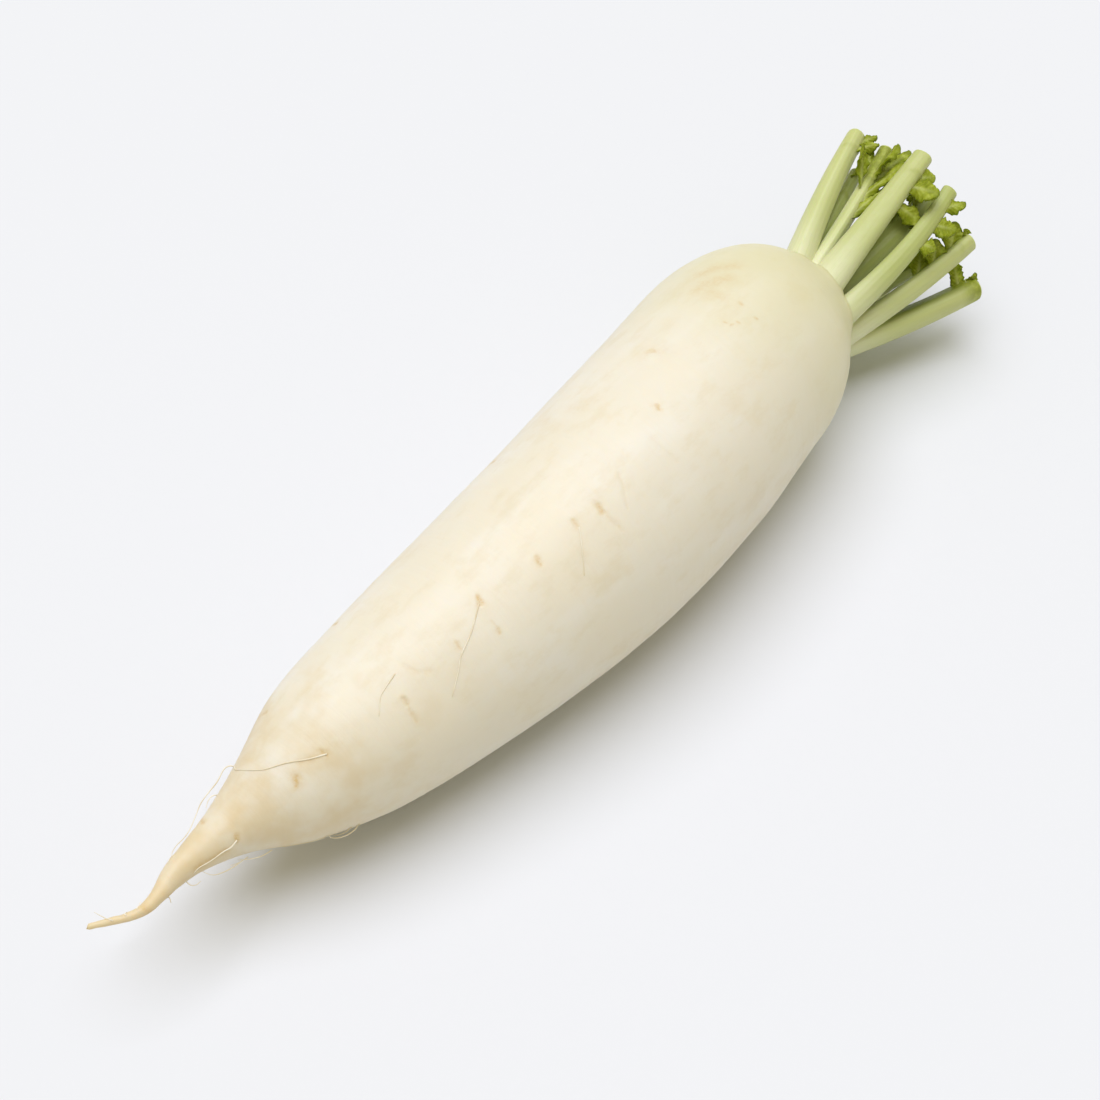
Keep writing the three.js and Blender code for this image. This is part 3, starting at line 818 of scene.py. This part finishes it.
# The fine lobes: the model's blades with rounded ends, small teeth and ruffles, rims that curl
# down, ends that droop, sunken veins and a raised midrib. An offset sets a blade's two sides apart,
# and a growth is how fast a form comes to its full height from the lobe's foot.
LOBE_ROWS = 44
LOBE_COLUMNS = 24
BLADE_THICKNESS, RIM_THICKNESS, END_THINNING = 0.9, 0.55, 0.6
OUTLINE_START = 0.14
OUTLINE_END = 0.8
OUTLINE_POWER = 1.7
OUTLINE_LEAST = 0.16
END_ROUNDING = 6
TEETH = 3
TOOTH_DEPTH = 0.06
SMALL_TEETH, SMALL_TOOTH_DEPTH = 9, 0.1
SMALL_TOOTH_OFFSET, SMALL_TOOTH_GROWTH = 0.2, 4
RUFFLE_HEIGHT = 2.6
RUFFLE_FADE = 1.25
RUFFLE_WAVES = 1.5
RUFFLE_OFFSET = 1.3
SMALL_RUFFLES, SMALL_RUFFLE_HEIGHT = 5, 0.35
SMALL_RUFFLE_OFFSET, SMALL_RUFFLE_GROWTH = 2.1, 3
CURL, CURL_START = 3.0, 0.45
DROOP, DROOP_START, DROOP_LENGTH = 2.0, 0.7, 10
MIDRIB_HEIGHT, MIDRIB_WIDTH, MIDRIB_TOP_SHARE = 0.5, 0.7, 0.4
VEINS, VEIN_DEPTH, VEIN_SLANT, VEIN_GROWTH = 7, 0.14, 1.6, 3
LEAF_START, LEAF_FADE = 0.04, 0.22
PALE_MIDRIB, PALE_MIDRIB_WIDTH = 0.75, 0.6
PATTERN_STEP, PATTERN_START = 40, 90


def add_lobe(shape, stalk, lobe, phase, dull):
    place, which_side, spread, length, half_width, fold = lobe
    centre, along, outer, side = stalk_frame(stalk, place)
    spread, fold = math.radians(spread), math.radians(fold)
    sideways = side * which_side * math.cos(fold) - outer * math.sin(fold)
    growth = along * math.cos(spread) + sideways * math.sin(spread)
    across = along * math.sin(spread) - sideways * math.cos(spread)
    face = np.cross(growth, across)

    row, column = np.meshgrid(np.arange(LOBE_ROWS + 1), np.arange(LOBE_COLUMNS + 1), indexing="ij")
    share = row.ravel() / LOBE_ROWS
    breadth = 2 * column.ravel() / LOBE_COLUMNS - 1
    rim = np.abs(breadth)
    wave = 2 * math.pi

    # Its outline
    reach = OUTLINE_START + (OUTLINE_END - OUTLINE_START) * share ** OUTLINE_POWER
    outline = np.sin(math.pi * reach)
    tooth = 1 + TOOTH_DEPTH * np.cos(wave * (TEETH * share + phase))
    teeth = SMALL_TEETH * share + phase * 3 + SMALL_TOOTH_OFFSET * np.sign(breadth)
    small = np.abs(np.sin(math.pi * teeth))
    grown = np.minimum(1, share * SMALL_TOOTH_GROWTH)
    half = half_width * np.maximum(OUTLINE_LEAST, outline) * tooth
    half = half * (1 + SMALL_TOOTH_DEPTH * (small - 0.5) * rim ** 3 * grown)

    # Its folds
    turn = wave * (RUFFLE_WAVES * share + phase) + RUFFLE_OFFSET * np.sign(breadth)
    lift = RUFFLE_HEIGHT * share * (RUFFLE_FADE - share) * breadth ** 2 * np.sin(turn)
    ruffle = wave * (SMALL_RUFFLES * share + phase * 5) + SMALL_RUFFLE_OFFSET * np.sign(breadth)
    grown = np.minimum(1, share * SMALL_RUFFLE_GROWTH)
    lift = lift + SMALL_RUFFLE_HEIGHT * grown * rim ** 3 * np.sin(ruffle)
    lift = lift - CURL * np.maximum(0, rim - CURL_START) ** 2 * share
    lift = lift - DROOP * np.maximum(0, share - DROOP_START) ** 2 * length / DROOP_LENGTH
    vein = np.cos(wave * (VEINS * share - VEIN_SLANT * rim))
    grown = np.minimum(1, share * VEIN_GROWTH)
    lift = lift - VEIN_DEPTH * vein * np.minimum(1, rim * VEIN_GROWTH) * grown

    # Its thickness and its colour
    rounded_off = half * share ** END_ROUNDING * (1 - np.sqrt(1 - rim ** 2))
    middle = (centre + growth * (length * share - rounded_off)[:, None]
              + across * (half * breadth)[:, None] + face * lift[:, None])
    midrib = MIDRIB_HEIGHT * np.exp(-(breadth * half / MIDRIB_WIDTH) ** 2) * (1 - share)
    thicker = (BLADE_THICKNESS - RIM_THICKNESS) * (1 - rim ** 2) * (1 - END_THINNING * share)
    thick = RIM_THICKNESS + thicker
    pale = PALE_MIDRIB * np.exp(-(breadth * half / PALE_MIDRIB_WIDTH) ** 2) * (1 - share)
    leaf = np.clip((share - LEAF_START) / LEAF_FADE, 0, 1) * (1 - pale)
    pattern = np.full(len(share), phase * PATTERN_STEP + PATTERN_START)
    fibre = np.stack([breadth * half, pattern, length * share], axis=1)
    starts = []
    for level, midrib_share in ((-1, 1), (1, MIDRIB_TOP_SHARE)):
        points = middle + face * (level * (thick / 2 + midrib * midrib_share))[:, None]
        starts.append(shape.add(points, fibre=fibre, up=place, leaf=leaf, dull=dull,
                                rim=np.maximum(rim ** 4, share ** 8)))
    join_blade(shape, *starts)


def join_blade(shape, low, high):
    """The faces of a lobe's lower and upper side, which start at these points, and of its edge."""
    def at(layer, i, j):
        return layer + i * (LOBE_COLUMNS + 1) + j

    for i in range(LOBE_ROWS):
        for j in range(LOBE_COLUMNS):
            shape.faces.append((at(low, i, j), at(low, i, j + 1),
                                at(low, i + 1, j + 1), at(low, i + 1, j)))
            shape.faces.append((at(high, i, j), at(high, i + 1, j),
                                at(high, i + 1, j + 1), at(high, i, j + 1)))
    edge = [(i, 0) for i in range(LOBE_ROWS)]
    edge += [(LOBE_ROWS, j) for j in range(LOBE_COLUMNS)]
    edge += [(i, LOBE_COLUMNS) for i in range(LOBE_ROWS, 0, -1)]
    edge += [(0, j) for j in range(LOBE_COLUMNS, 0, -1)]
    for here, there in zip(edge, edge[1:] + edge[:1]):
        shape.faces.append((at(low, *here), at(low, *there), at(high, *there), at(high, *here)))


# Repeatable draws between 0 and 1, as in the model
DRAW_FACTOR = 48271
DRAW_RANGE = 2147483647


def seeded_draws(seed):
    state = seed
    while True:
        state = state * DRAW_FACTOR % DRAW_RANGE
        yield state / DRAW_RANGE


class Nodes:
    """Adds and links the nodes of one material."""

    def __init__(self, name):
        self.material = bpy.data.materials.new(name)
        self.material.use_nodes = True
        self.tree = self.material.node_tree
        self.tree.nodes.clear()
        self.shader = self.new("BsdfPrincipled")
        output = self.new("OutputMaterial")
        self.link(self.shader.outputs["BSDF"], output.inputs["Surface"])

    def new(self, kind):
        return self.tree.nodes.new("ShaderNode" + kind)

    def link(self, source, target):
        self.tree.links.new(source, target)

    def put(self, socket, value):
        if isinstance(value, bpy.types.NodeSocket):
            self.link(value, socket)
        else:
            socket.default_value = value

    def surface(self, name, value):
        self.put(self.shader.inputs[name], value)

    def attribute(self, name, output="Fac"):
        node = self.new("Attribute")
        node.attribute_name = name
        return node.outputs[output]

    def object_place(self, stretch=(1, 1, 1)):
        place = self.new("TexCoord").outputs["Object"]
        return self.stretched(place, stretch)

    def stretched(self, vector, stretch):
        node = self.new("Mapping")
        self.link(vector, node.inputs["Vector"])
        node.inputs["Scale"].default_value = stretch
        return node.outputs["Vector"]

    def noise(self, vector, scale, detail, roughness=0.5):
        """Noise with so many features to a unit of length."""
        node = self.new("TexNoise")
        self.link(vector, node.inputs["Vector"])
        node.inputs["Scale"].default_value = scale
        node.inputs["Detail"].default_value = detail
        node.inputs["Roughness"].default_value = roughness
        return node.outputs["Fac"]

    def math(self, operation, first, second, clamp=False):
        node = self.new("Math")
        node.operation = operation
        node.use_clamp = clamp
        self.put(node.inputs[0], first)
        self.put(node.inputs[1], second)
        return node.outputs[0]

    def span(self, value, low, high, out_low=0.0, out_high=1.0):
        """A soft step: out_low where the value is low, out_high where it is high."""
        node = self.new("MapRange")
        node.interpolation_type = "SMOOTHSTEP"
        for socket, number in zip(list(node.inputs)[:5], (value, low, high, out_low, out_high)):
            self.put(socket, number)
        return node.outputs["Result"]

    def mix(self, share, first, second):
        node = self.new("Mix")
        node.data_type = "RGBA"
        self.put(node.inputs["Factor"], share)
        self.put(node.inputs["A"], first)
        self.put(node.inputs["B"], second)
        return node.outputs["Result"]

    def bump(self, height, strength, distance, under=None):
        node = self.new("Bump")
        node.inputs["Strength"].default_value = strength
        node.inputs["Distance"].default_value = distance
        self.link(height, node.inputs["Height"])
        if under is not None:
            self.link(under, node.inputs["Normal"])
        return node.outputs["Normal"]


# Display colours as they look in the scene's light, made linear
COLOUR_SHARE = 0.9


def colour(red, green, blue):
    shares = [value / 255 for value in (red, green, blue)]
    linear = [s / 12.92 if s <= 0.04045 else ((s + 0.055) / 1.055) ** 2.4 for s in shares]
    return (*(COLOUR_SHARE * value for value in linear), 1.0)


SKIN_CREAM = colour(241, 233, 212)
SKIN_WARM = colour(242, 232, 207)
SKIN_PALE = colour(246, 242, 230)
SKIN_TAN = colour(228, 204, 154)
SKIN_MOTTLE = colour(232, 218, 184)
SKIN_GREEN = colour(224, 218, 168)
SKIN_FOOT = colour(214, 206, 142)
SCAR_OCHRE = colour(220, 186, 116)
ROOTLET_CREAM = colour(253, 246, 224)
ROOTLET_TAN = colour(236, 220, 184)


def root_skin():
    n = Nodes("daikon_skin")
    place = n.object_place()
    from_tail = n.attribute("from_tail")
    base = n.mix(n.span(n.noise(place, 22, 4), 0.35, 0.7), SKIN_CREAM, SKIN_WARM)
    pale = n.noise(n.object_place((0.35, 1, 1)), 70, 3)
    base = n.mix(n.span(pale, 0.45, 0.75, 0, 0.5), base, SKIN_PALE)
    bands = n.noise(n.object_place((1, 0.08, 0.08)), 420, 3)
    base = n.mix(n.span(bands, 0.45, 0.8, 0, 0.4), base, SKIN_WARM)
    mottle = n.noise(n.object_place((0.5, 1, 1)), 130, 4, 0.65)
    base = n.mix(n.span(mottle, 0.48, 0.72, 0, 0.45), base, SKIN_MOTTLE)
    tail = n.math("ADD", from_tail, n.span(n.noise(place, 90, 3), 0.2, 0.8, -0.1, 0.1))
    base = n.mix(n.span(tail, 0.33, 0.04, 0, 0.75), base, SKIN_TAN)
    green = n.math("ADD", from_tail, n.span(n.noise(place, 40, 2), 0.2, 0.8, -0.02, 0.02))
    base = n.mix(n.span(green, 0.7, 1.0, 0, 0.8), base, SKIN_GREEN)
    base = n.mix(n.span(n.attribute("at_foot"), 0.3, 1.0, 0, 0.7), base, SKIN_FOOT)
    speckle = n.span(n.noise(place, 900, 2, 0.7), 0.3, 0.7, 0.55, 1.15)
    scar = n.math("MULTIPLY", n.attribute("scar"), speckle, clamp=True)
    base = n.mix(scar, base, SCAR_OCHRE)
    n.surface("Base Color", base)
    n.surface("Roughness", n.span(n.noise(place, 160, 4), 0.25, 0.75, 0.38, 0.5))
    n.surface("Subsurface Weight", 0.3)
    n.surface("Subsurface Radius", (1.0, 0.75, 0.45))
    n.surface("Subsurface Scale", 0.004)
    n.surface("Specular IOR Level", 0.42)
    wrinkles = n.bump(bands, 0.35, 0.0003)
    pores = n.bump(n.noise(place, 1500, 3, 0.6), 0.12, 0.0002, wrinkles)
    n.surface("Normal", pores)
    return n.material


def rootlet_skin():
    n = Nodes("rootlet_skin")
    place = n.object_place()
    shade = n.mix(n.span(n.noise(place, 140, 2), 0.35, 0.65), ROOTLET_CREAM, ROOTLET_TAN)
    n.surface("Base Color", shade)
    n.surface("Roughness", n.span(n.noise(place, 900, 2), 0.3, 0.7, 0.5, 0.65))
    n.surface("Normal", n.bump(n.noise(place, 3000, 2), 0.3, 0.0001))
    return n.material


STALK_WHITE = colour(233, 233, 190)
STALK_PALE = colour(214, 218, 152)
STALK_GREEN = colour(206, 209, 132)
# The dull, darker green of stalks in shade: partly their own colour, partly painted shade
STALK_DULL_SHADE = colour(175, 184, 100)
STREAK_GREEN = colour(190, 200, 116)
# Olive of the channel side: partly the stalk's own darker green, partly painted shade
CHANNEL_OLIVE_SHADE = colour(126, 138, 12)
CUT_PALE = colour(222, 226, 172)
CUT_GREEN = colour(196, 206, 130)
SCAR_OLIVE = colour(160, 168, 62)
LEAF_GREEN = colour(168, 178, 56)
LEAF_DARK = colour(134, 144, 26)
LEAF_LIGHT = colour(188, 196, 92)
LEAF_EDGE = colour(112, 124, 16)


def stalk_skin():
    n = Nodes("stalk_and_leaf")
    fibre = n.attribute("fibre", "Vector")
    up = n.attribute("up")
    leaf = n.attribute("leaf")
    dull = n.attribute("dull")
    soft = n.noise(n.stretched(fibre, (1, 1, 0.12)), 0.22, 3)
    base = n.mix(n.span(up, 0.03, 0.45), STALK_WHITE, STALK_PALE)
    high = n.math("ADD", up, n.span(soft, 0.3, 0.7, -0.2, 0.2))
    base = n.mix(n.span(high, 0.4, 1.2), base, STALK_GREEN)
    # Painted shade, with some duller green of their own: stalks in shade turn dull, less so at the
    # foot
    base = n.mix(n.math("MULTIPLY", dull, n.span(up, 0.0, 0.4, 0.5, 1.0)), base, STALK_DULL_SHADE)
    streaks = n.noise(n.stretched(fibre, (1, 1, 0.03)), 1.7, 3, 0.6)
    base = n.mix(n.span(streaks, 0.45, 0.75, 0, 0.22), base, STREAK_GREEN)
    # Painted shade, with the stalk's own darker green, on the channel side, fading out at the foot
    channel = n.math("MULTIPLY", n.attribute("channel"), n.span(up, 0.04, 0.35, 0, 0.95))
    base = n.mix(channel, base, CHANNEL_OLIVE_SHADE)
    scar = n.math("MULTIPLY", n.attribute("ring"), n.span(soft, 0.35, 0.6, 0.35, 0.85))
    base = n.mix(scar, base, SCAR_OLIVE)
    dots = n.span(n.noise(n.stretched(fibre, (1, 1, 0)), 1.3, 2, 0.6), 0.42, 0.62)
    base = n.mix(n.attribute("cut"), base, n.mix(dots, CUT_PALE, CUT_GREEN))
    patches = n.noise(fibre, 0.35, 4, 0.6)
    blade = n.mix(n.span(patches, 0.35, 0.65), LEAF_GREEN, LEAF_DARK)
    blade = n.mix(n.span(patches, 0.5, 0.3, 0, 0.6), blade, LEAF_LIGHT)
    # Painted shade on the lobes of the stalks that lie in shade
    blade = n.mix(n.math("MULTIPLY", dull, 0.4), blade, LEAF_DARK)
    blade = n.mix(n.span(n.attribute("rim"), 0.2, 1.0, 0, 0.7), blade, LEAF_EDGE)
    base = n.mix(leaf, base, blade)
    n.surface("Base Color", base)
    n.surface("Roughness", n.span(n.noise(fibre, 0.8, 3), 0.3, 0.7, 0.36, 0.52))
    n.surface("Subsurface Weight", 0.25)
    n.surface("Subsurface Radius", (0.7, 1.0, 0.3))
    n.surface("Subsurface Scale", 0.0018)
    n.surface("Specular IOR Level", n.span(leaf, 0, 1, 0.4, 0.1))
    ribs = n.bump(streaks, 0.15, 0.0003)
    cells = n.bump(n.noise(fibre, 3.0, 3, 0.6), 0.12, 0.0002, ribs)
    n.surface("Normal", cells)
    return n.material


root = build_root()
root.data.materials.append(root_skin())
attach(root, "root")
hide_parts("taproot")

rootlets = build_rootlets(root)
rootlets.data.materials.append(rootlet_skin())
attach(rootlets, "root")

green = stalk_skin()
draws = seeded_draws(LOBE_SEED)
for number, stalk in enumerate(STALKS, 1):
    shape = Shape()
    add_stalk(shape, stalk, number)
    for lobe in stalk.lobes:
        add_lobe(shape, stalk, lobe, next(draws), DULLNESS_AND_SHADE[number - 1])
    piece = shape.object(f"stalk_and_lobes_{number:02d}")
    piece.data.materials.append(green)
    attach(piece, "root")
    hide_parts(f"leaf_stalk_{number:02d}")

# A plain pale floor
FLOOR_HALF = 4.0
FLOOR_COLOUR = (0.742, 0.749, 0.761, 1)
corners = [(-FLOOR_HALF, -FLOOR_HALF, 0), (FLOOR_HALF, -FLOOR_HALF, 0),
           (FLOOR_HALF, FLOOR_HALF, 0), (-FLOOR_HALF, FLOOR_HALF, 0)]
floor_mesh = bpy.data.meshes.new("floor")
floor_mesh.from_pydata(corners, [], [(0, 1, 2, 3)])
floor = bpy.data.objects.new("floor", floor_mesh)
bpy.context.scene.collection.objects.link(floor)
paper = Nodes("pale_floor")
paper.surface("Base Color", FLOOR_COLOUR)
paper.surface("Roughness", 1.0)
paper.surface("Specular IOR Level", 0.0)
floor_mesh.materials.append(paper.material)


# Light: one broad soft light overhead, and an even warm fill from all round. Past the floor's edge
# the camera sees surroundings as pale as the floor.
KEY_WAY = (0.08, 0.13, 1.0)
KEY_ANGLE = 60
KEY_STRENGTH = 2.5
KEY_COLOUR = (0.965, 0.99, 1.144)
FILL_COLOUR = (1.0, 0.95, 0.7, 1)
FILL_STRENGTH = 0.45
BACKDROP_COLOUR = (0.896, 0.905, 0.922, 1)

lamp = bpy.data.lights.new("key", "SUN")
lamp.energy = KEY_STRENGTH
lamp.angle = math.radians(KEY_ANGLE)
lamp.color = KEY_COLOUR
key = bpy.data.objects.new("key", lamp)
key.rotation_euler = Vector(KEY_WAY).to_track_quat("Z", "Y").to_euler()
bpy.context.scene.collection.objects.link(key)

world = bpy.data.worlds.new("surroundings")
world.use_nodes = True
world_nodes, world_links = world.node_tree.nodes, world.node_tree.links
fill = world_nodes["Background"]
fill.inputs["Color"].default_value = FILL_COLOUR
fill.inputs["Strength"].default_value = FILL_STRENGTH
backdrop = world_nodes.new("ShaderNodeBackground")
backdrop.inputs["Color"].default_value = BACKDROP_COLOUR
seen = world_nodes.new("ShaderNodeMixShader")
world_links.new(world_nodes.new("ShaderNodeLightPath").outputs["Is Camera Ray"], seen.inputs["Fac"])
world_links.new(fill.outputs["Background"], seen.inputs[1])
world_links.new(backdrop.outputs["Background"], seen.inputs[2])
world_links.new(seen.outputs["Shader"], world_nodes["World Output"].inputs["Surface"])
bpy.context.scene.world = world
bpy.context.scene.view_settings.view_transform = "Standard"

camera_data = bpy.data.cameras.new("camera")
camera_data.lens = LENS
camera_data.sensor_width = SENSOR
camera_data.sensor_fit = "HORIZONTAL"
camera_data.clip_start = 0.01
camera = bpy.data.objects.new("camera", camera_data)
camera.location = Vector(CAMERA_PLACE * MM)
camera.rotation_euler = Vector(CAMERA_BACK).to_track_quat("Z", "Y").to_euler()
bpy.context.scene.collection.objects.link(camera)
bpy.context.scene.camera = camera
